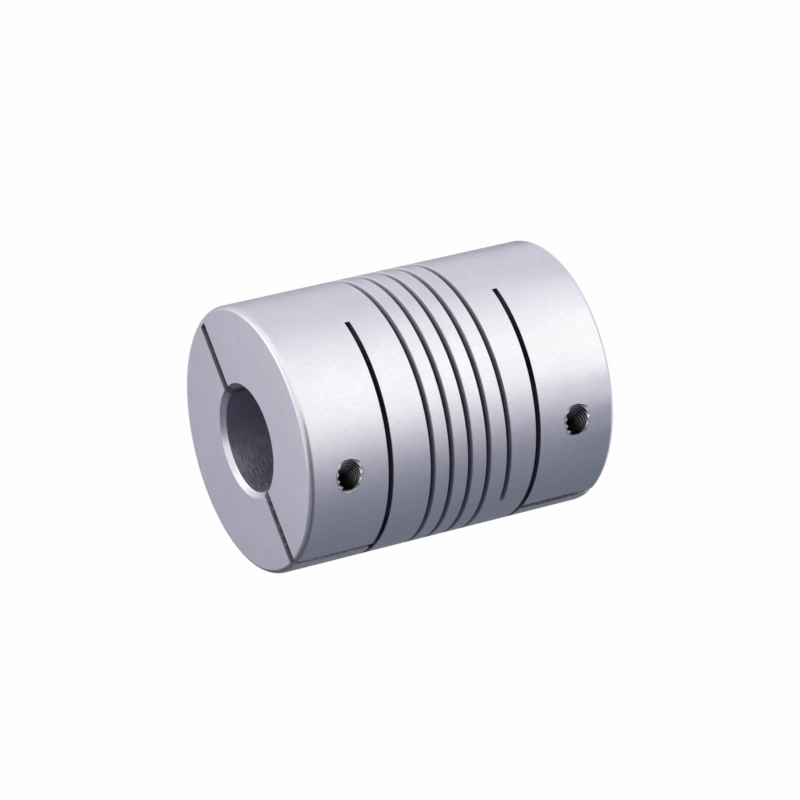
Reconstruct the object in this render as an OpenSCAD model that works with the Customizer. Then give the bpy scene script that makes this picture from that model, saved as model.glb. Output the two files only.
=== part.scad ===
// Helical beam coupling with two split clamp hubs, turned and cut from one bar of aluminium.
// It stands on the end face of its lower hub. +Z runs along the shaft axis.
// The clamp slits lie in the XZ plane: their open side faces -X and their hinge faces +X.
// The clamp screws run along Y: their heads sink in from +Y and their tapped holes come out at -Y.

/* [Body] */
// Outside diameter
body_d = 38; // [36:0.5:60]
// Length from end face to end face
body_l = 48.2; // [44:0.1:80]
// Chamfer round the rim of each end face
rim_chamfer = 0.45; // [0.2:0.05:1]

/* [Shaft bores] */
// Shaft bore of the upper hub
upper_bore_d = 15; // [8:0.5:16]
// Shaft bore of the lower hub
lower_bore_d = 15; // [8:0.5:16]
// Lead-in chamfer of both shaft bores
bore_chamfer = 0.7; // [0.2:0.05:1.2]
// Bore behind the beams, relieved so that they never touch a shaft
relieved_bore_d = 16.5; // [16.5:0.1:20]

/* [Hubs] */
// Distance from each end face to the middle of the cross cut that frees the clamp
hub_l = 12.45; // [11.5:0.05:14]
// Width of the cross cut
cross_cut_w = 0.8; // [0.4:0.05:1.2]
// Reach of the cross cut past the shaft axis, towards the hinge
cross_cut_reach = 7.7; // [6:0.05:12]
// Width of the clamp slit
slit_w = 1.5; // [0.6:0.05:2]
// Thin wall left outside the clamp slit, which bends as a hinge
hinge_wall = 0.95; // [0.5:0.05:3]

/* [Helical cut] */
// Width of the helical cut, measured along the shaft axis
helix_w = 0.8; // [0.4:0.05:1.2]
// Rise of the helical cut in one turn
helix_lead = 2.94; // [2:0.01:5]
// Land between the middle of a cross cut and the end of the helical cut
helix_land = 4.3; // [2:0.1:6]
// Direction from the shaft axis in which the helical cut crosses the middle of the body
helix_azimuth = -39.6; // [-180:0.1:180]
// Share of a turn at each end over which the helical cut runs out steeper
runout_turns = 0.58; // [0.1:0.01:0.9]
// Extra rise of the helical cut over one run-out
runout_rise = 0.42; // [0:0.02:1]

/* [Clamp screws] */
// Thread diameter of the clamp screws
screw_d = 4; // [3:0.5:4]
// Length of the screw below its head
screw_l = 12; // [10:1:14]
// Diameter of the screw head
head_d = 7; // [5.5:0.1:7.4]
// Height of the screw head
head_h = 4; // [3:0.1:4.5]
// Hexagon socket, across its flats
socket_af = 3; // [2:0.5:3]
// Depth of the hexagon socket
socket_depth = 2; // [1:0.1:2.5]
// Distance from each end face to the screw's axis
screw_from_end = 6.1; // [5:0.05:7]
// Distance from the outside of the body, on the slit's open side, to the screw's axis
screw_rim = 6.45; // [6.2:0.05:6.8]
// Distance from the middle of the clamp slit to the seat of the screw head
seat_depth = 5; // [4:0.1:6]

/* [Fits] */
// Gap all round between the screw and its tapped hole, where the threads mesh
thread_gap = 0.05; // [0.02:0.01:0.1]
// Gap all round between the screw and the plain hole on its head side
shank_gap = 0.25; // [0.1:0.05:0.5]
// Gap all round between the screw head and its counterbore
head_gap = 0.4; // [0.2:0.05:0.6]

/* [Hidden] */
$fn = 96;
body_r = body_d / 2;
slit_end = body_r - hinge_wall;
screw_offset = body_r - screw_rim;
relieved_z = [hub_l, body_l - hub_l];
// How far a cutting shape runs past the surface that it cuts
past = 1;

// Chamfer of the screw head's top edge and of the screw's tip
head_chamfer = 0.4;
tip_chamfer = 0.6;
// Height of the drill point under the hexagon socket
socket_point = 0.7;

// Half the turns of the helical cut, counted from the middle of the body, as an angle
helix_half_rise = body_l / 2 - hub_l - helix_land;
helix_half_angle = 360 * (helix_half_rise - runout_rise) / helix_lead;
runout_angle = 360 * runout_turns;
steps_per_turn = 60;
helix_steps = ceil(2 * helix_half_angle / 360 * steps_per_turn);

// Height of the helical cut over the middle of the body, at an angle from where it crosses it.
// The lead is constant, and a parabola steepens it along each run-out.
function runout_share(angle) = max(0, abs(angle) - helix_half_angle + runout_angle) / runout_angle;
function helix_rise(angle) =
    helix_lead * angle / 360 + sign(angle) * runout_rise * pow(runout_share(angle), 2);
function helix_angle(step) = helix_half_angle * (2 * step / helix_steps - 1);

// Four corners of the cutter's section at one step: inner bottom, outer bottom, outer top, inner top
function helix_corners(step) =
    let (
        angle = helix_angle(step),
        toward = helix_azimuth + angle,
        middle = body_l / 2 + helix_rise(angle),
        inner = relieved_bore_d / 2 - past,
        outer = body_r + past
    )
    [
        for (corner = [[inner, -1], [outer, -1], [outer, 1], [inner, 1]])
            [corner[0] * cos(toward), corner[0] * sin(toward), middle + corner[1] * helix_w / 2]
    ];

// The helical cut as one ribbon: its section swept round the axis, closed by two end faces
module helical_cutter() {
    points = [for (step = [0 : helix_steps]) each helix_corners(step)];
    sides = [
        for (step = [0 : helix_steps - 1], side = [0 : 3])
            let (
                a = 4 * step + side,
                b = 4 * step + (side + 1) % 4,
                c = b + 4,
                d = a + 4
            )
            each [[a, b, d], [b, c, d]]
    ];
    last = 4 * helix_steps;
    ends = [
        [0, 2, 1], [0, 3, 2],
        [last, last + 1, last + 2], [last, last + 2, last + 3]
    ];
    polyhedron(points = points, faces = concat(sides, ends), convexity = 12);
}

// Half section of the turned blank: rims, shaft bores with their lead-ins, relieved bore behind the beams
module blank_section() {
    polygon([
        [lower_bore_d / 2 + bore_chamfer, 0],
        [body_r - rim_chamfer, 0],
        [body_r, rim_chamfer],
        [body_r, body_l - rim_chamfer],
        [body_r - rim_chamfer, body_l],
        [upper_bore_d / 2 + bore_chamfer, body_l],
        [upper_bore_d / 2, body_l - bore_chamfer],
        [upper_bore_d / 2, relieved_z[1]],
        [relieved_bore_d / 2, relieved_z[1]],
        [relieved_bore_d / 2, relieved_z[0]],
        [lower_bore_d / 2, relieved_z[0]],
        [lower_bore_d / 2, bore_chamfer]
    ]);
}

// Cuts of one hub, measured up from its end face: clamp slit and the cross cut that frees it
module hub_cuts() {
    translate([-body_r - past, -slit_w / 2, -past])
        cube([slit_end + body_r + past, slit_w, hub_l + past]);
    translate([-body_r - past, -body_r - past, hub_l - cross_cut_w / 2])
        cube([cross_cut_reach + body_r + past, body_d + 2 * past, cross_cut_w]);
}

// Hole for one clamp screw, with its axis on Y and the slit's middle plane at its origin
module screw_hole() {
    tapped_d = screw_d + 2 * thread_gap;
    plain_d = screw_d + 2 * shank_gap;
    counterbore_d = head_d + 2 * head_gap;
    rotate([90, 0, 0]) cylinder(h = body_r, d = tapped_d);
    rotate([-90, 0, 0]) cylinder(h = body_r, d = plain_d);
    translate([0, seat_depth, 0]) rotate([-90, 0, 0]) cylinder(h = body_r, d = counterbore_d);
}

module coupling_body() {
    color("#c4c5cb")
    difference() {
        rotate_extrude() blank_section();
        hub_cuts();
        translate([0, 0, body_l]) mirror([0, 0, 1]) hub_cuts();
        for (z = [screw_from_end, body_l - screw_from_end])
            translate([-screw_offset, 0, z]) screw_hole();
        helical_cutter();
    }
}

// Socket head cap screw, with the seat of its head at the origin and its tip towards -Y
module clamp_screw(z) {
    socket_d = socket_af / cos(30);
    color("#2f3033")
    translate([-screw_offset, seat_depth, z])
    rotate([90, 0, 0])
    difference() {
        rotate_extrude()
            polygon([
                [0, -head_h],
                [head_d / 2 - head_chamfer, -head_h],
                [head_d / 2, -head_h + head_chamfer],
                [head_d / 2, 0],
                [screw_d / 2, 0],
                [screw_d / 2, screw_l - tip_chamfer],
                [screw_d / 2 - tip_chamfer, screw_l],
                [0, screw_l]
            ]);
        translate([0, 0, -head_h - past]) cylinder(h = socket_depth + past, d = socket_d, $fn = 6);
        translate([0, 0, -head_h + socket_depth]) cylinder(h = socket_point, d1 = socket_af, d2 = 0);
    }
}

module upper_clamp_screw() { clamp_screw(body_l - screw_from_end); }
module lower_clamp_screw() { clamp_screw(screw_from_end); }

coupling_body();
upper_clamp_screw();
lower_clamp_screw();
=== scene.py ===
"""Looks of a helical beam coupling: body turned and cut from aluminium bar, with two clamp screws.

Lengths are in millimetres and angles in degrees. The grids become metres where they are put into a mesh.
"""

import math

import bmesh
import bpy
import numpy as np
from mathutils import Matrix, Vector


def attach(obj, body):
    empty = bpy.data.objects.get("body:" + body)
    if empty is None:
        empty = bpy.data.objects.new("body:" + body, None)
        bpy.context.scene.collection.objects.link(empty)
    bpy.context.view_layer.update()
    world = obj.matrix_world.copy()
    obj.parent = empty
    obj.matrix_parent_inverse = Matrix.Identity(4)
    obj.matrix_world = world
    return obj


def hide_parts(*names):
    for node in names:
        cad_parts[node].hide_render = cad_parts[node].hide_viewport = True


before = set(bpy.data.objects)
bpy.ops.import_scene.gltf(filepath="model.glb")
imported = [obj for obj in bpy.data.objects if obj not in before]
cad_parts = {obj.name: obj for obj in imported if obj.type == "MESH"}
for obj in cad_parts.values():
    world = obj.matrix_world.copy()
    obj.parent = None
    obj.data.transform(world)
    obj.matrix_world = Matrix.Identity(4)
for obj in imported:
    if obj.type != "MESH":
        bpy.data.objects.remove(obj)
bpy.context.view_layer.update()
MM = 0.001

# Body, with the same sizes as in the part's source, and the columns round its turned mesh
BODY_R = 19.0
BODY_L = 48.2
BORE_R = 7.5
BORE_CHAMFER = 0.7
RELIEVED_R = 8.25
HUB_L = 12.45
CROSS_W = 0.8
CROSS_REACH = 7.7
SLIT_W = 1.5
HINGE_WALL = 0.95
BODY_COLUMNS = 512

# Rounded rims of the end faces, which the source has as chamfers
RIM_RADIAL = 0.72
RIM_AXIAL = 0.92
RIM_STEPS = 8

# Helical cut, with the same sizes as in the part's source, and its angle from one section to the next
HELIX_W = 0.8
HELIX_LEAD = 2.94
HELIX_LAND = 4.3
HELIX_AZIMUTH = -39.6
RUNOUT_TURNS = 0.58
RUNOUT_RISE = 0.42
HELIX_STEP = 2.0

# Section of the lip rolled over along the helical cut's lower side: a quarter ellipse from 90 degrees, in the
# wall, to LIP_END, a little proud of the outside. LIP_FLARE is how far the cutter still opens past it.
LIP_RADIAL = 0.8
LIP_AXIAL = 0.22
LIP_PROUD = 0.004
LIP_END = 4
LIP_POINTS = 10
LIP_FLARE = 0.05

# Size of the lip round the body: direction in which it is widest, how fast it narrows away from there, its
# least share, and the share that it loses by the lower end of the cut
LIP_TOWARD = -65
LIP_FOCUS = 4
LIP_LEAST = 0.15
LIP_FADE = 0.9

# Clamp screws and their holes, with the same sizes as in the part's source, and the columns round a hole
SCREW_D = 4.0
SCREW_L = 12.0
HEAD_D = 7.0
HEAD_H = 4.0
SOCKET_AF = 3.0
SOCKET_DEPTH = 2.0
SOCKET_POINT = 0.7
SCREW_FROM_END = 6.1
SCREW_OFFSET = BODY_R - 6.45
SEAT_DEPTH = 5.0
THREAD_GAP = 0.05
SHANK_GAP = 0.25
HEAD_GAP = 0.4
HOLE_COLUMNS = 96

# Thread: pitch, and the flats on its crest and at its root as shares of the pitch
PITCH = 0.7
CREST_FLAT = 1 / 4
ROOT_FLAT = 1 / 8

# Core radius of a tapped hole, phase of its thread in turns at the slit's middle plane, how far past that
# plane its cutter starts, and the grid of a thread: columns round it and rows to a pitch
TAPPED_CORE_R = 1.66
THREAD_PHASE = 0.25
THREAD_START = 0.5
THREAD_COLUMNS = 72
THREAD_ROWS = 12

# Screw: plain neck below the head, chamfer of the tip, how far the shank reaches into the head, and the
# ridges of the head's knurl with the columns and the depth of each
NECK_L = 0.6
NECK_R = 1.9
TIP_CHAMFER = 0.6
SHANK_IN_HEAD = 0.5
KNURLS = 56
KNURL_COLUMNS = 4
KNURL_DEPTH = 0.11

# Profile of the head: height over its seat, how far inside its radius, and share of the knurl
HEAD_PROFILE = (
    (HEAD_H, 0.55, 0),
    (HEAD_H - 0.06, 0.42, 0),
    (HEAD_H - 0.4, 0.06, 0),
    (HEAD_H - 0.55, 0, 1),
    (0.75, 0, 1),
    (0.6, 0.06, 0),
    (0.22, 0.06, 0),
    (0, 0.25, 0),
)

# Hexagon socket: radius at its corners, and profiles of its chamfered mouth and of the drill point below it,
# as radius and depth below the top of the head
SOCKET_R = SOCKET_AF / 2 / math.cos(math.pi / 6)
SOCKET_MOUTH = ((SOCKET_R + 0.55, -0.5), (SOCKET_R - 0.35, 0.4))
DRILL_POINT = (
    (SOCKET_AF / 2, SOCKET_DEPTH - 0.3),
    (SOCKET_AF / 2 - 0.05, SOCKET_DEPTH),
    (0.05, SOCKET_DEPTH + SOCKET_POINT),
)

# How far a cutter runs past the surface that it cuts, the distance below which two points are one, and how
# near to the outside's radius a point of the outside lies
PAST = 1.0
SLIVER = 0.0005
ON_OUTSIDE = 0.001

# Angles past which an edge stays sharp
BODY_SHARP = 30
SCREW_SHARP = 35

# Tints of the aluminium
ALUMINIUM = (0.64, 0.622, 0.708)
SAWN_TINT = (0.62, 0.605, 0.76)
BORED_TINT = (0.62, 0.625, 0.74)

# Dark and light tone of each kind of surface, as shares of its tint. EVEN_MOTTLE is where sawn walls lie
# between theirs, apart from the slit's mottled side. The tones of the sawn walls, the drilled hole and the
# thread are painted shade, darker than the outside's; the bore's light tone is painted light.
CLOUD_TONES = (0.955, 1.025)
STREAK_TONE = 0.90
BORED_TONES = (0.8, 1.45)
SLIT_SHADE_TONES = (0.34, 0.95)
BEAM_SHADE_TONES = (0.44, 0.52)
DRILLED_SHADE_TONES = (0.62, 0.9)
RIDGE_TONE = 0.34
THREAD_SHADE_BLACK = (0.02, 0.02, 0.02, 1)
EVEN_MOTTLE = 0.35

# Values of each noise that become 0 and 1 where it is used
STREAK_RANGE = (0.28, 0.62)
CLOUD_RANGE = (0.3, 0.7)
CLUMP_RANGE = (0.42, 0.58)
BITE_RANGE = (0.42, 0.62)
BORED_RANGE = (0.42, 0.62)
DRILLED_RANGE = (0.35, 0.65)

# Chatter of the boring tool and painted light on the bore: the direction towards which its rings grow
# stronger in relief and lighter in colour, and the range of its cosine
CHATTER_AND_LIGHT_TOWARD = (-0.77, 0.64)
CHATTER_AND_LIGHT_RANGE = (0, 0.7)

# Roughness of the aluminium, and what each kind of surface adds to it
SATIN = 0.385
STREAK_ROUGH = 0.05
RIM_ROUGH = -0.05
LEAD_IN_ROUGH = -0.11
SAWN_ROUGH = 0.12
BEAM_ROUGH = 0.3

# Height of each kind of relief in the aluminium's bump
STREAK_RELIEF = 0.006
SPECK_RELIEF = 0.0015
SAWN_RELIEF = 0.01
BITE_RELIEF = 0.02
BORED_RELIEF = 0.008
CHATTER_RELIEF = 0.05
BURR_RELIEF = 0.055

# Noises of the aluminium: cells to a millimetre or a radian of each of its three lengths, detail and
# roughness. The rings' lengths are the radius, the angle round the shaft and the height.
STREAKS = ((3.6, 3.6, 0.9), 3.0, 0.65)
CLOUDS = ((0.21, 0.21, 0.16), 3.0, 0.55)
SPECKS = ((5.0, 5.0, 4.0), 2.0, 0.6)
CLUMPS = ((1.7, 1.7, 1.7), 2.0, 0.6)
BITES = ((3.2, 3.2, 3.2), 2.0, 0.6)
RINGS = ((2.0, 5.0, 4.5), 3.0, 0.65)

# Ranges over which one kind of the body's surface turns into the next: radii, distances from an end face,
# from a screw's axis and from the slit's middle plane, and places along Y and X
BORE_EDGE = (RELIEVED_R + 0.05, RELIEVED_R + 0.1)
LEAD_IN_EDGE = (BORE_R + BORE_CHAMFER - 0.02, BORE_R + BORE_CHAMFER)
RIM_EDGE = (BODY_R - RIM_RADIAL, BODY_R - RIM_RADIAL + 0.05)
CHAMFER_END = (0.66, 0.7)
BORE_MOUTH = (0.5, 1.2)
HUB_END = (HUB_L - 0.7, HUB_L - 0.6)
BEAMS_START = (14, 16)
THREAD_EDGE = (SCREW_D / 2 + 0.12, SCREW_D / 2 + 0.2)
RIDGE_EDGE = (TAPPED_CORE_R + 0.02, TAPPED_CORE_R + 0.16)
COUNTERBORE_EDGE = (4, 4.05)
SLIT_EDGE = (0.8, 0.85)
TAPPED_SIDE = (-0.6, -0.4)
HEAD_SIDE = (1, 1.1)
# Place along Y past which the thread's ridges fade into its painted shade, deeper in the hole
RIDGES_INTO_SHADE = (-12, -10)
BURRED_SIDE = (-12.3, -11.5)
MOTTLED_SIDE = (-4, 0)

# Ranges of depth below the outside: where painted shade darkens sawn walls, those of the helical cut and the
# thread, and other changes
SAWN_SHADE_DEPTH = (0.04, 0.4)
HELIX_SHADE_DEPTH = (0.15, 1.0)
THREAD_SHADE_DEPTH = (0.12, 0.5)
ROUGH_DEPTH = (0.02, 0.2)
STREAK_DEPTH = (0.02, 0.3)
BURR_DEPTH = (0.02, 0.1)

# Burr round a tapped hole: radius of its ring, and half of its width
BURR_R = 2.04
BURR_HALF_W = 0.11

# Black oxide on the screws: dark and light colour, noises of the oil patches and of the grain as above,
# contrast of the patches, roughness with what the patches add to it, and relief of the grain
OXIDE_DARK = (0.045, 0.046, 0.05, 1)
OXIDE_LIGHT = (0.09, 0.09, 0.095, 1)
PATCHES = ((1.4, 1.4, 1.4), 4.0, 0.6)
GRAIN = ((9.0, 9.0, 9.0), 2.0, 0.6)
PATCH_RANGE = (0.35, 0.7)
OXIDE_ROUGH = 0.3
PATCH_ROUGH = 0.18
GRAIN_RELIEF = 0.004

# Camera: place, aim, turn about its line of sight, lens, sensor, nearest distance that it sees, and shift in
# pixels of the photograph
CAMERA_PLACE = (-166.308, -517.340, 288.157)
CAMERA_AIM = (0.523, -0.169, 23.678)
CAMERA_ROLL = -103.3326
CAMERA_LENS = 192.88
CAMERA_SENSOR = 36
CAMERA_NEAR = 10
CAMERA_SHIFT = (-0.25, 0.3)
PHOTO_SIZE = 800

# Floor: half of its side, colour under the lamps, strength and share of its white glow
FLOOR_HALF = 3000.0
FLOOR_LIT = (0.8, 0.8, 0.8, 1)
FLOOR_GLOW = 1.0
FLOOR_GLOW_SHARE = 0.975

# Strength of the light that the world casts on things
WORLD_CAST = 0.6

# Light tent: its radius, and the grid of a panel
TENT_R = 2000.0
PANEL_COLUMNS = 13
PANEL_ROWS = 7

# Its grid on the floor: the angle straight away from the camera, where it closes on itself, the angle from
# one ray to the next, points along a ray, gap to the body, and height over the floor
GLOW_SEAM = 72.1
GLOW_STEP = 1.5
GLOW_RINGS = 24
GLOW_CLEAR = 0.1
GLOW_LIFT = 0.05

# Angle to +X from the direction in which the camera stands: see floor_glow
VIEW_TURN = 107.9

# The light tent on the floor: the glow's colour at some of the angles from +X
FLOOR_COLOURS = (
    (44, (0.30, 0.30, 0.30)),
    (88, (0.30, 0.30, 0.30)),
    (104, (0.22, 0.25, 0.29)),
    (144, (0.235, 0.265, 0.305)),
    (164, (0.29, 0.33, 0.38)),
    (184, (0.30, 0.34, 0.39)),
    (200, (0.50, 0.50, 0.56)),
    (208, (0.50, 0.50, 0.56)),
    (224, (1.05, 1.04, 1.06)),
    (232, (1.05, 1.04, 1.06)),
    (248, (1.68, 1.68, 1.53)),
    (292, (1.62, 1.62, 1.47)),
    (308, (1.31, 1.32, 1.26)),
    (322, (1.31, 1.32, 1.27)),
    (338, (0.97, 0.97, 1.00)),
    (388, (0.93, 0.93, 0.95)),
)

# The light tent round the part and overhead: each panel's angles from +X, heights and colour
TENT_PANELS = {
    "low_front": (260, 350, 0, 30, (1.59, 1.55, 1.40)),
    "low_right": (350, 400, 0, 30, (1.05, 1.05, 1.12)),
    "low_behind": (400, 440, 0, 30, (0.60, 0.60, 0.69)),
    "low_dark": (80, 260, 0, 30, (0.10, 0.10, 0.10)),
    "high_front": (240, 330, 30, 70, (1.23, 1.23, 1.19)),
    "high_right": (330, 410, 30, 70, (1.62, 1.65, 1.53)),
    "high_dark": (50, 240, 30, 70, (0.24, 0.25, 0.33)),
    "overhead": (0, 360, 70, 90, (1.38, 1.40, 1.33)),
}

# Lamps that face the upper end face: angle from +X and colour of each, then their angle over the floor,
# distance and side
LAMPS = {
    "near_back": (70, (1.4, 1.34, 1.2)),
    "near_right": (40, (1.05, 0.99, 0.86)),
}
LAMP_RISE = 55
LAMP_DISTANCE = 120.0
LAMP_SIDE = 54.0


def read(items, name, width, kind=float):
    """One property of all of a mesh's points, corners or faces: an array with a row for each of them."""
    values = np.empty(len(items) * width, dtype=kind)
    items.foreach_get(name, values)
    return values.reshape(-1, width)


def mesh_object(name, points, quads, triangles=()):
    """A mesh object from points in millimetres, rows of four corners and rows of three corners."""
    mesh = bpy.data.meshes.new(name)
    faces = [tuple(q) for q in np.asarray(quads).tolist()]
    faces += [tuple(t) for t in np.asarray(triangles).tolist()]
    mesh.from_pydata((np.asarray(points) * MM).tolist(), [], faces)
    mesh.validate()
    piece = bpy.data.objects.new(name, mesh)
    bpy.context.scene.collection.objects.link(piece)
    return piece


def grid_quads(rows, columns, wrap_rows=False, wrap_columns=True):
    """Corners of each cell of a grid: its own point, then those (0, 1), (1, 1) and (1, 0) on from it."""
    i = np.arange(rows if wrap_rows else rows - 1)[:, None]
    j = np.arange(columns if wrap_columns else columns - 1)[None, :]
    i_next = (i + 1) % rows
    j_next = (j + 1) % columns
    cells = np.stack(
        np.broadcast_arrays(
            i * columns + j, i * columns + j_next, i_next * columns + j_next, i_next * columns + j
        ),
        -1,
    )
    return cells.reshape(-1, 4)


def triangles_of(mesh):
    """The mesh cut into triangles, as rows of three of its points."""
    mesh.calc_loop_triangles()
    return read(mesh.loop_triangles, "vertices", 3, np.int32)


def outwards(piece):
    """Turns all faces of a closed mesh the same way, outwards, by the sign of its volume."""
    mesh = piece.data
    a, b, c = read(mesh.vertices, "co", 3)[triangles_of(mesh)].transpose(1, 0, 2)
    if np.einsum("ij,ij->", a, np.cross(b, c)) < 0:
        mesh.flip_normals()
    return piece


def turned(name, profile, segments):
    """A solid of revolution about Z: the closed profile (radius, height) at each angle of a full turn.

    The point of row i and column j is (r_j cos a_i, r_j sin a_i, z_j) with a_i = 2 pi i / segments.
    """
    profile = np.asarray(profile, float)
    angle = 2 * math.pi * np.arange(segments)[:, None] / segments
    radius, height = profile[:, 0][None, :], profile[:, 1][None, :]
    points = np.stack(
        [radius * np.cos(angle), radius * np.sin(angle), height + 0 * angle], -1
    ).reshape(-1, 3)
    quads = grid_quads(segments, len(profile), wrap_rows=True)
    return outwards(mesh_object(name, points, quads))


def swept(name, sections):
    """A solid from a row of closed sections, each an array of points, closed by its two end sections."""
    rows, columns = sections.shape[:2]
    centres = [sections[0].mean(0), sections[-1].mean(0)]
    points = np.concatenate([sections.reshape(-1, 3), centres])
    quads = grid_quads(rows, columns)
    j = np.arange(columns)
    j_next = (j + 1) % columns
    last_row = (rows - 1) * columns
    first, last = rows * columns, rows * columns + 1
    low = np.stack([np.full(columns, first), j_next, j], -1)
    high = np.stack([np.full(columns, last), j + last_row, j_next + last_row], -1)
    return outwards(mesh_object(name, points, quads, np.concatenate([low, high])))


def block(name, low, high):
    """A box between two corners."""
    (x0, y0, z0), (x1, y1, z1) = low, high
    ring = np.array([[x0, y0], [x1, y0], [x1, y1], [x0, y1]])
    sections = np.stack([np.column_stack([ring, np.full(4, z)]) for z in (z0, z1)])
    return swept(name, sections)


def finished(piece):
    """Gives a piece the mesh that its modifiers make of it, and takes the modifiers off."""
    bpy.context.view_layer.update()
    made = bpy.data.meshes.new_from_object(
        piece.evaluated_get(bpy.context.evaluated_depsgraph_get())
    )
    piece.modifiers.clear()
    old = piece.data
    piece.data = made
    bpy.data.meshes.remove(old)
    return piece


def joined(piece, others, operation="DIFFERENCE"):
    """Takes each other solid out of a piece in turn, or unites it with the piece, and removes the other.

    Then points closer than a sliver are merged, and the faces that have become flat lines are dissolved.
    """
    for other in others:
        step = piece.modifiers.new("join", "BOOLEAN")
        step.operation = operation
        step.solver = "MANIFOLD"
        step.object = other
        finished(piece)
        mesh = other.data
        bpy.data.objects.remove(other)
        bpy.data.meshes.remove(mesh)
    work = bmesh.new()
    work.from_mesh(piece.data)
    bmesh.ops.remove_doubles(work, verts=work.verts, dist=SLIVER * MM)
    bmesh.ops.dissolve_degenerate(work, edges=work.edges, dist=SLIVER * MM)
    work.to_mesh(piece.data)
    work.free()
    return piece


def closed(piece):
    """Rebuilds a mesh from its triangles, less those that lie back to back on the same three points."""
    old = piece.data
    triangles = triangles_of(old)
    _, which, count = np.unique(
        np.sort(triangles, 1), axis=0, return_inverse=True, return_counts=True
    )
    triangles = triangles[count[which.ravel()] == 1]
    made = bpy.data.meshes.new(old.name)
    made.from_pydata(read(old.vertices, "co", 3).tolist(), [], triangles.tolist())
    piece.data = made
    bpy.data.meshes.remove(old)
    return piece


def helical_cutter():
    """The helical cut with its lower lip rolled over.

    Height over the middle of the body at angle a: lead * a / 360, plus the run-out rise times the square
    of the share of the run-out that is passed. The section's lower side curves away by a quarter ellipse.
    The ellipse grows from its least to its full size by ((1 + cos d) / 2) to the power LIP_FOCUS, with d the
    angle from the direction in which the lip is widest. That growth fades along the lower run-out.
    """
    half_rise = BODY_L / 2 - HUB_L - HELIX_LAND
    half_angle = 360 * (half_rise - RUNOUT_RISE) / HELIX_LEAD
    runout_angle = 360 * RUNOUT_TURNS
    steps = 2 * math.ceil(half_angle / HELIX_STEP)
    angle = np.linspace(-half_angle, half_angle, steps + 1)
    share = np.maximum(0, np.abs(angle) - half_angle + runout_angle) / runout_angle
    rise = BODY_L / 2 + HELIX_LEAD * angle / 360 + np.sign(angle) * RUNOUT_RISE * share**2
    toward = np.radians(HELIX_AZIMUTH + angle)

    inner, outer, edge, low = RELIEVED_R - PAST, BODY_R + PAST, BODY_R + LIP_PROUD, -HELIX_W / 2
    turn = np.radians(np.linspace(90, LIP_END, LIP_POINTS))
    lip = np.column_stack([
        edge - LIP_RADIAL * (1 - np.cos(turn)),
        low - LIP_AXIAL * (1 - np.sin(turn)),
    ])
    full = np.concatenate([
        [[inner, low]],
        lip,
        [[outer, lip[-1, 1] - LIP_FLARE], [outer, -low], [inner, -low]],
    ])
    least = full.copy()
    least[1:-3, 0] = edge - LIP_LEAST * (edge - full[1:-3, 0])
    least[1:-2, 1] = low + LIP_LEAST * (full[1:-2, 1] - low)
    near = ((1 + np.cos(toward - math.radians(LIP_TOWARD))) / 2) ** LIP_FOCUS
    rolled = near * (1 - LIP_FADE * np.where(angle < 0, share, 0))
    section = least + rolled[:, None, None] * (full - least)

    radius, offset = section[:, :, 0], section[:, :, 1]
    sections = np.stack([
        radius * np.cos(toward)[:, None],
        radius * np.sin(toward)[:, None],
        rise[:, None] + offset,
    ], -1)
    return swept("helical_cutter", sections)


def around(columns):
    """Angles of a number of columns round an axis, in radians, as one row."""
    return 2 * math.pi * np.arange(columns)[None, :] / columns


def along_y(radius, angle, distance, z):
    """Points round the axis of a clamp screw at a height, at a distance along -Y from the slit's middle.

    The point is (x + r cos a, -distance, z + r sin a), with x the axis's place. Radius, angle and distance
    may be grids.
    """
    radius, angle, distance = np.broadcast_arrays(radius, angle, distance)
    return np.stack([
        radius * np.cos(angle) - SCREW_OFFSET,
        -distance,
        z + radius * np.sin(angle),
    ], -1)


def thread_height(phase):
    """Height of a thread over its root at a phase in turns, as a share of its depth.

    It is 1 along the flat of the crest and 0 along the flat of the root, and the flanks between them are
    straight.
    """
    from_crest = np.abs((phase + 0.5) % 1 - 0.5)
    flank = (1 - CREST_FLAT - ROOT_FLAT) / 2
    return np.clip((0.5 - ROOT_FLAT / 2 - from_crest) / flank, 0, 1)


def thread(distance, angle):
    """Height of the clamp screws' thread at phase distance / pitch - angle / turn."""
    return thread_height(distance / PITCH - angle / (2 * math.pi) + THREAD_PHASE)


def tapped_cutter(z):
    """A tapped hole: its radius goes from core to crest by the height of the thread."""
    angle = around(THREAD_COLUMNS)
    distance = np.arange(-THREAD_START, BODY_R, PITCH / THREAD_ROWS)[:, None]
    crest, core = SCREW_D / 2 + THREAD_GAP, TAPPED_CORE_R
    radius = core + (crest - core) * thread(distance, angle)
    return swept("tapped_cutter", along_y(radius, angle, distance, z))


def plain_cutter(name, radius, start, z):
    """A plain round hole on the side of the screw head, from a distance to past the outside."""
    distance = np.array([-start, -BODY_R - PAST])[:, None]
    return swept(name, along_y(radius, around(HOLE_COLUMNS), distance, z))


def blank_profile():
    """Half section of the turned blank, counter-clockwise from the lower bore's lead-in.

    Each rim is broken by a quarter ellipse between the end face and the outside.
    """
    turn = np.radians(np.linspace(-90, 0, RIM_STEPS + 1))
    rim = np.column_stack([
        BODY_R - RIM_RADIAL * (1 - np.cos(turn)),
        RIM_AXIAL * (1 + np.sin(turn)),
    ])
    half = [[BORE_R, BORE_CHAMFER], [BORE_R + BORE_CHAMFER, 0], *rim.tolist()]
    relief = [[RELIEVED_R, BODY_L - HUB_L], [RELIEVED_R, HUB_L], [BORE_R, HUB_L]]
    mirrored = [[r, BODY_L - z] for r, z in reversed(half)]
    return half + mirrored + [[BORE_R, BODY_L - HUB_L]] + relief


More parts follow.
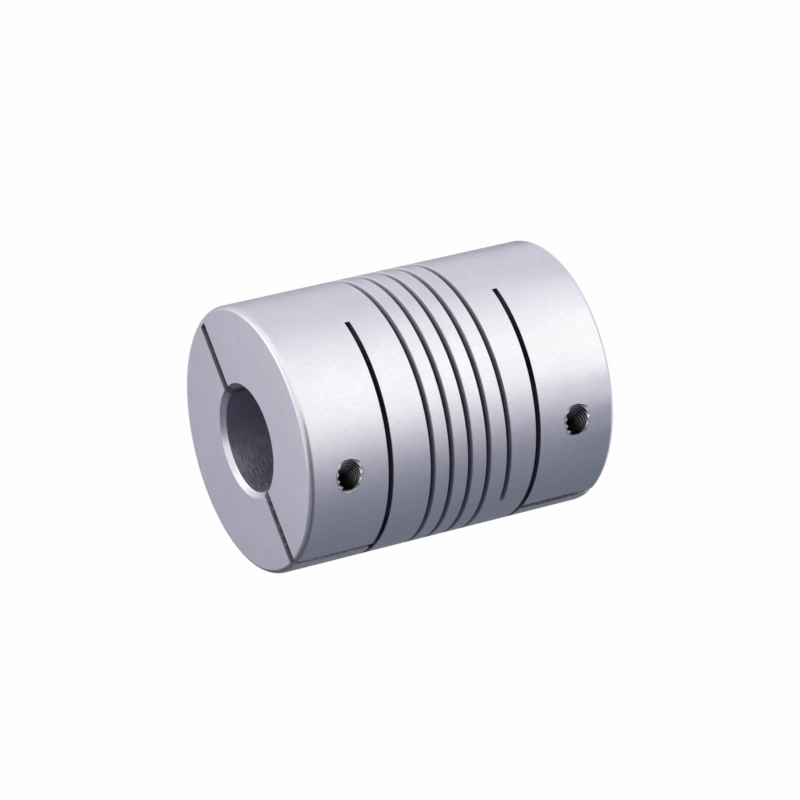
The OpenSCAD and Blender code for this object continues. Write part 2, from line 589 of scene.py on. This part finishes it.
def coupling_body():
    """The turned blank less its clamp slits, cross cuts, screw holes and helical cut."""
    body = turned("coupling_body_turned", blank_profile(), BODY_COLUMNS)
    cutters = [helical_cutter()]
    far, hinge = BODY_R + PAST, BODY_R - HINGE_WALL
    for low, high, cross in ((-PAST, HUB_L, HUB_L), (BODY_L - HUB_L, BODY_L + PAST, BODY_L - HUB_L)):
        cutters.append(block("slit", (-far, -SLIT_W / 2, low), (hinge, SLIT_W / 2, high)))
        cutters.append(
            block("cross", (-far, -far, cross - CROSS_W / 2), (CROSS_REACH, far, cross + CROSS_W / 2))
        )
    for z in (SCREW_FROM_END, BODY_L - SCREW_FROM_END):
        cutters.append(tapped_cutter(z))
        cutters.append(plain_cutter("shank_hole", SCREW_D / 2 + SHANK_GAP, 0, z))
        cutters.append(plain_cutter("counterbore", HEAD_D / 2 + HEAD_GAP, SEAT_DEPTH, z))
    return closed(joined(body, cutters))


def screw_shank(name, z):
    """The screw below its head: its radius follows the same thread as its tapped hole, a gap smaller.

    The thread's height fades in below the neck, and the tip tapers to a chamfer.
    """
    angle = around(THREAD_COLUMNS)
    tip = SCREW_L - SEAT_DEPTH
    distance = np.arange(tip, -SEAT_DEPTH - SHANK_IN_HEAD, -PITCH / THREAD_ROWS)[::-1, None]
    fade_in = np.clip((distance + SEAT_DEPTH - NECK_L) / PITCH, 0, 1)
    core = TAPPED_CORE_R - THREAD_GAP
    crest = np.minimum(SCREW_D / 2, SCREW_D / 2 - TIP_CHAMFER + (tip - distance))
    height = thread(distance, angle) * fade_in
    neck = (NECK_R - core) * (1 - fade_in)
    radius = np.minimum(core + neck + (SCREW_D / 2 - core) * height, crest)
    return swept(name, along_y(radius, angle, distance, z))


def screw_head(name, z):
    """The screw's head: a chamfered cylinder whose side is knurled by a triangle wave round the axis."""
    columns = KNURLS * KNURL_COLUMNS
    wave = np.abs((np.arange(columns)[None, :] % KNURL_COLUMNS) / KNURL_COLUMNS - 0.5) * 2
    height, inset, knurled = np.array(HEAD_PROFILE).T[:, :, None]
    radius = HEAD_D / 2 - inset - KNURL_DEPTH * knurled * wave
    return swept(name, along_y(radius, around(columns), -SEAT_DEPTH - height, z))


def socket_part(name, profile, columns, z):
    """A solid round the screw's axis: each radius of the profile at its depth below the top of the head."""
    radius, depth = np.array(profile).T[:, :, None]
    return swept(name, along_y(radius, around(columns), depth - SEAT_DEPTH - HEAD_H, z))


def hexagon_socket(name, z):
    """Cutter of the socket: a hexagonal prism with a chamfered mouth and a drill point below it."""
    prism = socket_part(name, ((SOCKET_R, -0.5), (SOCKET_R, SOCKET_DEPTH)), 6, z)
    mouth = socket_part("mouth", SOCKET_MOUTH, 60, z)
    return joined(prism, [mouth, socket_part("drill_point", DRILL_POINT, 60, z)], "UNION")


def clamp_screw(name, z):
    """Socket head cap screw: threaded shank, knurled head and hexagon socket as one solid."""
    screw = joined(screw_shank(name, z), [screw_head("head", z)], "UNION")
    return joined(screw, [hexagon_socket("socket", z)])


def finish_shading(piece, angle):
    """Smooth faces with sharp edges past an angle, and normals weighted by the faces' areas."""
    mesh = piece.data
    mesh.shade_smooth()
    mesh.set_sharp_from_angle(angle=math.radians(angle))
    step = piece.modifiers.new("weighted normals", "WEIGHTED_NORMAL")
    step.mode = "FACE_AREA"
    step.keep_sharp = True
    return finished(piece)


def radial_normals(piece, radius):
    """Gives the faces of the outside cylinder its exact normals, (x, y, 0) / radius at each corner.

    Their long triangles would otherwise bend the normals round the holes and cuts.
    """
    mesh = piece.data
    co = read(mesh.vertices, "co", 3) / MM
    on_outside = np.abs(np.hypot(co[:, 0], co[:, 1]) - radius) < ON_OUTSIDE
    corner = read(mesh.loops, "vertex_index", 1, np.int32)[:, 0]
    sizes = read(mesh.polygons, "loop_total", 1, np.int32)[:, 0]
    face = np.repeat(np.arange(len(sizes)), sizes)
    outside_corners = np.bincount(face, weights=on_outside[corner])
    chosen = (outside_corners == sizes)[face]
    normals = read(mesh.corner_normals, "vector", 3, np.float32)
    normals[chosen] = co[corner[chosen]] * (1, 1, 0) / radius
    mesh.normals_split_custom_set(normals.tolist())
    return piece


def feed(socket, value):
    """Links a wire to an input, or sets the input to a plain value."""
    if isinstance(value, Wire):
        socket.id_data.links.new(value.socket, socket)
    else:
        socket.default_value = value


class Wire:
    """An output of a node, with Python's operators for the Math nodes."""

    def __init__(self, socket):
        self.socket = socket
        self.tree = socket.id_data

    @staticmethod
    def node(tree, kind, inputs=None, settings=None, out=0):
        """Adds a node: first its settings, then values or links of its inputs. Gives one output as a wire."""
        made = tree.nodes.new(kind)
        for name, value in (settings or {}).items():
            setattr(made, name, value)
        for name, value in (inputs or {}).items():
            feed(made.inputs[name], value)
        return Wire(made.outputs[out]) if made.outputs else None

    def output(self, name):
        """Another output of the same node."""
        return Wire(self.socket.node.outputs[name])

    def math(self, operation, *values):
        """A Math node on the values given, which are wires or numbers."""
        return Wire.node(self.tree, "ShaderNodeMath", dict(enumerate(values)), {"operation": operation})

    def __add__(self, other):
        return self.math("ADD", self, other)

    def __sub__(self, other):
        return self.math("SUBTRACT", self, other)

    def __rsub__(self, other):
        return self.math("SUBTRACT", other, self)

    def __mul__(self, other):
        return self.math("MULTIPLY", self, other)

    def __truediv__(self, other):
        return self.math("DIVIDE", self, other)

    def __pow__(self, other):
        return self.math("POWER", self, other)

    def __abs__(self):
        return self.math("ABSOLUTE", self)

    __radd__ = __add__
    __rmul__ = __mul__

    def lower(self, other):
        """The lower of this wire and another value."""
        return self.math("MINIMUM", self, other)

    def higher(self, other):
        """The higher of this wire and another value."""
        return self.math("MAXIMUM", self, other)

    def ramp(self, start, end):
        """0 up to the start, 1 from the end, and a straight line between them."""
        return ((self - start) / (end - start)).higher(0).lower(1)

    def blend(self, first, second):
        """The first colour where this wire is 0, and the second where it is 1."""
        colours = {0: self, 6: first, 7: second}
        return Wire.node(self.tree, "ShaderNodeMix", colours, {"data_type": "RGBA"}, out=2)


def new_material(name):
    """A node material, the inputs of its Principled shader, and the Object coordinates in millimetres."""
    material = bpy.data.materials.new(name)
    material.use_nodes = True
    tree = material.node_tree
    shader = next(n for n in tree.nodes if n.type == "BSDF_PRINCIPLED")
    place = Wire.node(tree, "ShaderNodeTexCoord", out="Object")
    split = Wire.node(tree, "ShaderNodeSeparateXYZ", {0: place})
    return material, shader.inputs, [split.output(k) / MM for k in range(3)]


def bare_material(name, surface):
    """A material whose surface is the wire that a function makes in its empty node tree."""
    material = bpy.data.materials.new(name)
    material.use_nodes = True
    tree = material.node_tree
    tree.nodes.clear()
    Wire.node(tree, "ShaderNodeOutputMaterial", {"Surface": surface(tree)})
    return material


def noise(place, cells, detail, roughness):
    """Noise from 0 to 1 at a place of three wires, with a number of cells to a unit of each."""
    x, y, z = (length * count for length, count in zip(place, cells))
    spot = Wire.node(x.tree, "ShaderNodeCombineXYZ", {"X": x, "Y": y, "Z": z})
    values = {"Vector": spot, "Scale": 1.0, "Detail": detail, "Roughness": roughness}
    return Wire.node(x.tree, "ShaderNodeTexNoise", values, out="Fac")


def bump(height):
    """A Bump node on a height in millimetres."""
    values = {"Strength": 1.0, "Distance": MM, "Height": height}
    return Wire.node(height.tree, "ShaderNodeBump", values)


def grey(value, tint=(1, 1, 1)):
    """A colour: the tint times a value."""
    return tuple(value * t for t in tint) + (1,)


def turned_aluminium():
    """Aluminium as turned, blasted and sawn: each kind of surface is told apart by its place on the part.

    Outside: satin, with short streaks along the axis and faint clouds. Bore: rings from boring, with painted
    light that makes them lighter towards one side.
    Sawn walls: painted shade, darker with their depth below the outside. Threads: painted shade, near black
    in their grooves and deep in the hole, lighter on their ridges near the mouth.
    """
    material, inputs, (x, y, z) = new_material("turned_aluminium")
    radius = (x * x + y * y) ** 0.5
    from_end = z.lower(BODY_L - z)
    depth = (BODY_R - radius).lower(from_end)

    in_bore = 1 - radius.ramp(*BORE_EDGE)
    down_bore = from_end.ramp(*BORE_MOUTH) * in_bore
    near_end = 1 - from_end.ramp(*CHAMFER_END)
    on_lead_in = near_end * (1 - radius.ramp(*LEAD_IN_EDGE))
    on_rim = near_end * radius.ramp(*RIM_EDGE)

    to_screw = abs(z - SCREW_FROM_END).lower(abs(z - (BODY_L - SCREW_FROM_END)))
    from_screw = ((x + SCREW_OFFSET) ** 2 + to_screw * to_screw) ** 0.5
    tapped_side = 1 - y.ramp(*TAPPED_SIDE)
    in_thread = (1 - from_screw.ramp(*THREAD_EDGE)) * tapped_side
    ridge = 1 - from_screw.ramp(*RIDGE_EDGE)

    among_beams = from_end.ramp(*BEAMS_START)
    past_hub = from_end.ramp(*HUB_END)
    in_slit = (1 - abs(y).ramp(*SLIT_EDGE)) * (1 - past_hub)
    in_hole = (1 - from_screw.ramp(*COUNTERBORE_EDGE)) * y.ramp(*HEAD_SIDE)
    cut = (past_hub + in_slit) * (1 - in_bore) * (1 - in_hole)
    # Depth in the cuts: it carries the sawn walls' painted shade, as well as their roughness and relief
    below = depth.ramp(*SAWN_SHADE_DEPTH) * (1 - among_beams) + depth.ramp(*HELIX_SHADE_DEPTH) * among_beams

    streaks = noise((x, y, z), *STREAKS)
    clouds = noise((x, y, z), *CLOUDS)
    specks = noise((x, y, z), *SPECKS)
    clumps = noise((x, y, z), *CLUMPS)
    bites = noise((x, y, z), *BITES)
    rings = noise((radius, x.math("ARCTAN2", y, x), z), *RINGS)

    outside = clouds.ramp(*CLOUD_RANGE).blend(*(grey(tone, ALUMINIUM) for tone in CLOUD_TONES))
    outside = streaks.ramp(*STREAK_RANGE).blend(grey(STREAK_TONE, ALUMINIUM), outside)
    # Painted light on the bore: its rings are lighter in colour towards one side, where their relief also
    # grows
    chatter_and_light = ((y * CHATTER_AND_LIGHT_TOWARD[1] + x * CHATTER_AND_LIGHT_TOWARD[0]) / radius).ramp(*CHATTER_AND_LIGHT_RANGE)
    lit_rings = rings.ramp(*BORED_RANGE) * chatter_and_light
    bored = lit_rings.blend(*(grey(tone, BORED_TINT) for tone in BORED_TONES))
    mottled_slit = in_slit * (1 - x.ramp(*MOTTLED_SIDE))
    mottled = (bites.ramp(*BITE_RANGE) - EVEN_MOTTLE) * mottled_slit + EVEN_MOTTLE
    # Sawn walls: painted shade, darker than the outside, mottled at random on the slit's open side
    sawn = mottled.blend(*(
        among_beams.blend(grey(in_slits, SAWN_TINT), grey(in_helix, SAWN_TINT))
        for in_slits, in_helix in zip(SLIT_SHADE_TONES, BEAM_SHADE_TONES)
    ))
    # Drilled hole: ring marks at random, and painted shade that keeps it darker than the outside
    drilled = rings.ramp(*DRILLED_RANGE).blend(*(grey(tone, ALUMINIUM) for tone in DRILLED_SHADE_TONES))
    # Thread: painted shade, near black in its grooves; its ridges are less dark near the mouth and black
    # deeper in the hole
    threaded = (ridge * (1 - y.ramp(*RIDGES_INTO_SHADE))).blend(THREAD_SHADE_BLACK, grey(RIDGE_TONE, ALUMINIUM))

    # Painted shade: the outside's colour turns into the dark sawn tone with depth inside the cuts
    colour = (below * cut).blend(outside, sawn)
    # The drilled hole's painted shade comes in with depth below the outside
    colour = (depth.ramp(*SAWN_SHADE_DEPTH) * in_hole).blend(colour, drilled)
    colour = down_bore.blend(colour, bored)
    # The thread's painted shade comes in with depth below the outside
    colour = (depth.ramp(*THREAD_SHADE_DEPTH) * in_thread).blend(colour, threaded)
    feed(inputs["Base Color"], colour)
    feed(inputs["Metallic"], 1.0)

    sawn_rough = below * (1 - among_beams) * SAWN_ROUGH + depth.ramp(*ROUGH_DEPTH) * among_beams * BEAM_ROUGH
    turned_rough = on_rim * RIM_ROUGH + on_lead_in * LEAD_IN_ROUGH + SATIN
    feed(inputs["Roughness"], streaks * STREAK_ROUGH + turned_rough + cut * sawn_rough)

    on_burr = (1 - abs(from_screw - BURR_R).ramp(0, BURR_HALF_W)) * tapped_side
    burr = on_burr * (1 - depth.ramp(*BURR_DEPTH)) * (1 - x.ramp(*BURRED_SIDE))
    feed(inputs["Normal"], bump(
        streaks * (STREAK_RELIEF * (1 - depth.ramp(*STREAK_DEPTH)))
        + specks * (SPECK_RELIEF + below * cut * SAWN_RELIEF)
        + rings * down_bore * (chatter_and_light * CHATTER_RELIEF + BORED_RELIEF)
        + burr * clumps.ramp(*CLUMP_RANGE) * BURR_RELIEF
        + bites * below * in_slit * BITE_RELIEF
    ))
    return material


def black_steel():
    """Black oxide on steel: nearly black, a little lighter where the oil has dried in patches."""
    material, inputs, place = new_material("black_steel")
    patches = noise(place, *PATCHES)
    grain = noise(place, *GRAIN)
    feed(inputs["Base Color"], patches.ramp(*PATCH_RANGE).blend(OXIDE_DARK, OXIDE_LIGHT))
    feed(inputs["Metallic"], 1.0)
    feed(inputs["Roughness"], patches * PATCH_ROUGH + OXIDE_ROUGH)
    feed(inputs["Normal"], bump(grain * GRAIN_RELIEF))
    return material


def make_camera():
    """The photograph's camera: place, aim, and its turn about the line of sight."""
    data = bpy.data.cameras.new("camera")
    data.lens = CAMERA_LENS
    data.sensor_width = CAMERA_SENSOR
    data.clip_start = CAMERA_NEAR * MM
    data.shift_x, data.shift_y = (shift / PHOTO_SIZE for shift in CAMERA_SHIFT)
    camera = bpy.data.objects.new("camera", data)
    bpy.context.scene.collection.objects.link(camera)
    place, aim = Vector(CAMERA_PLACE) * MM, Vector(CAMERA_AIM) * MM
    level = (aim - place).to_track_quat("-Z", "Y").to_matrix()
    turn = Matrix.Rotation(math.radians(CAMERA_ROLL), 3, "Z")
    camera.matrix_world = Matrix.Translation(place) @ (level @ turn).to_4x4()
    bpy.context.scene.camera = camera


def shows_background(tree):
    """A wire that is 1 for the rays that show the background: camera, glossy and transmission rays."""
    seen = Wire.node(tree, "ShaderNodeLightPath", out="Is Camera Ray")
    return seen.higher(seen.output("Is Glossy Ray")).higher(seen.output("Is Transmission Ray"))


def floor_surface(tree):
    """Mostly a plain white glow for the rays that show it, and a share that takes light and shadow."""
    lit = Wire.node(tree, "ShaderNodeBsdfDiffuse", {"Color": FLOOR_LIT})
    glow = Wire.node(tree, "ShaderNodeEmission", {"Color": (1, 1, 1, 1), "Strength": FLOOR_GLOW})
    share = shows_background(tree) * FLOOR_GLOW_SHARE
    return Wire.node(tree, "ShaderNodeMixShader", {0: share, 1: lit, 2: glow})


def make_floor():
    """A plain pale floor."""
    half = FLOOR_HALF
    points = np.array([[-half, -half, 0], [half, -half, 0], [half, half, 0], [-half, half, 0]])
    floor = mesh_object("floor", points, [[0, 1, 2, 3]])
    floor.data.materials.append(bare_material("floor_white", floor_surface))


def panel_surface(tree):
    """A glow in the panel's own colour at each point."""
    colour = Wire.node(tree, "ShaderNodeAttribute", settings={"attribute_name": "glow"}, out="Color")
    return Wire.node(tree, "ShaderNodeEmission", {"Color": colour, "Strength": 1.0})


def glow_panel(name, points, quads, colours):
    """One panel of the light tent, with a colour at each point: only the metal sees it, as a reflection."""
    panel = mesh_object(name, points, quads)
    colours = np.broadcast_to(colours, (len(points), 3))
    colours = np.column_stack([colours, np.ones(len(points))]).astype(np.float32)
    spread = panel.data.color_attributes.new("glow", "FLOAT_COLOR", "POINT")
    spread.data.foreach_set("color", colours.ravel())
    panel.data.materials.append(bare_material(name, panel_surface))
    panel.visible_camera = panel.visible_diffuse = panel.visible_shadow = False


def floor_glow():
    """The part of the light tent that lies on the floor, as the metal's side reflects it.

    Seen from the camera, the side's point at angle (a - VIEW_TURN) / 2 reflects a ray towards angle a.
    The grid's point is that side point plus d times the ray's direction, so that each colour lies along
    one ray. Between two colours of FLOOR_COLOURS the glow changes evenly.
    """
    turn = np.arange(GLOW_SEAM - 360, GLOW_SEAM, GLOW_STEP)[:, None]
    distance = np.concatenate([[0], np.geomspace(1, TENT_R, GLOW_RINGS)])[None, :]
    side, toward = np.radians((turn - VIEW_TURN) / 2), np.radians(turn)
    points = np.stack([
        (BODY_R + GLOW_CLEAR) * np.cos(side) + distance * np.cos(toward),
        (BODY_R + GLOW_CLEAR) * np.sin(side) + distance * np.sin(toward),
        GLOW_LIFT + 0 * side * distance,
    ], -1)
    stops = np.array([stop for stop, _ in FLOOR_COLOURS])
    colours = np.array([colour for _, colour in FLOOR_COLOURS])
    spread = np.stack(
        [np.interp(turn[:, 0], stops - 360, colours[:, k], period=360) for k in range(3)], -1
    )
    spread = np.repeat(spread, distance.shape[1], axis=0)
    quads = grid_quads(*points.shape[:2], wrap_rows=True, wrap_columns=False)
    return points.reshape(-1, 3), quads, spread


def tent_panel(start, end, low, high):
    """A patch of a sphere round the part, between two angles from +X and two heights."""
    angle = np.radians(np.linspace(start, end, PANEL_COLUMNS))[:, None]
    rise = np.radians(np.linspace(low, high, PANEL_ROWS))[None, :]
    points = TENT_R * np.stack([
        np.cos(rise) * np.cos(angle), np.cos(rise) * np.sin(angle), np.sin(rise) + 0 * angle
    ], -1)
    return points.reshape(-1, 3), grid_quads(PANEL_COLUMNS, PANEL_ROWS, wrap_columns=False)


def soft_lamp(name, azimuth, colour, middle):
    """A square area lamp that faces a point, at an angle from +X, with its own radiance."""
    a, e = math.radians(azimuth), math.radians(LAMP_RISE)
    toward = Vector((math.cos(e) * math.cos(a), math.cos(e) * math.sin(a), math.sin(e)))
    place = middle + LAMP_DISTANCE * MM * toward
    data = bpy.data.lights.new(name, "AREA")
    data.shape = "SQUARE"
    data.size = LAMP_SIDE * MM
    data.energy = math.pi * (LAMP_SIDE * MM) ** 2
    data.color = colour
    lamp = bpy.data.objects.new(name, data)
    bpy.context.scene.collection.objects.link(lamp)
    lamp.location = place
    lamp.rotation_euler = (middle - place).to_track_quat("-Z", "Y").to_euler()
    lamp.visible_camera = False


def make_world():
    """A plain white surround for the rays that show it, dimmer for the light that it casts."""
    world = bpy.data.worlds.new("studio")
    bpy.context.scene.world = world
    world.use_nodes = True
    tree = world.node_tree
    ground = next(n for n in tree.nodes if n.type == "BACKGROUND")
    feed(ground.inputs["Color"], (1, 1, 1, 1))
    feed(ground.inputs["Strength"], shows_background(tree) * (1 - WORLD_CAST) + WORLD_CAST)


def dress(piece, material, node):
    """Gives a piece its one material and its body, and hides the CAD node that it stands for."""
    piece.data.materials.clear()
    piece.data.materials.append(material)
    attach(piece, "root")
    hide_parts(node)


make_camera()
make_floor()
make_world()
glow_panel("floor_glow", *floor_glow())
for name, (*span, colour) in TENT_PANELS.items():
    glow_panel("tent_" + name, *tent_panel(*span), colour)
for name, (azimuth, colour) in LAMPS.items():
    soft_lamp(name, azimuth, colour, Vector((0, 0, BODY_L * MM)))
bpy.context.scene.view_settings.view_transform = "Standard"

body = radial_normals(finish_shading(coupling_body(), BODY_SHARP), BODY_R)
dress(body, turned_aluminium(), "coupling_body")
steel = black_steel()
for node, z in (("upper_clamp_screw", BODY_L - SCREW_FROM_END), ("lower_clamp_screw", SCREW_FROM_END)):
    screw = finish_shading(clamp_screw(node + "_threaded", z), SCREW_SHARP)
    dress(screw, steel, node)
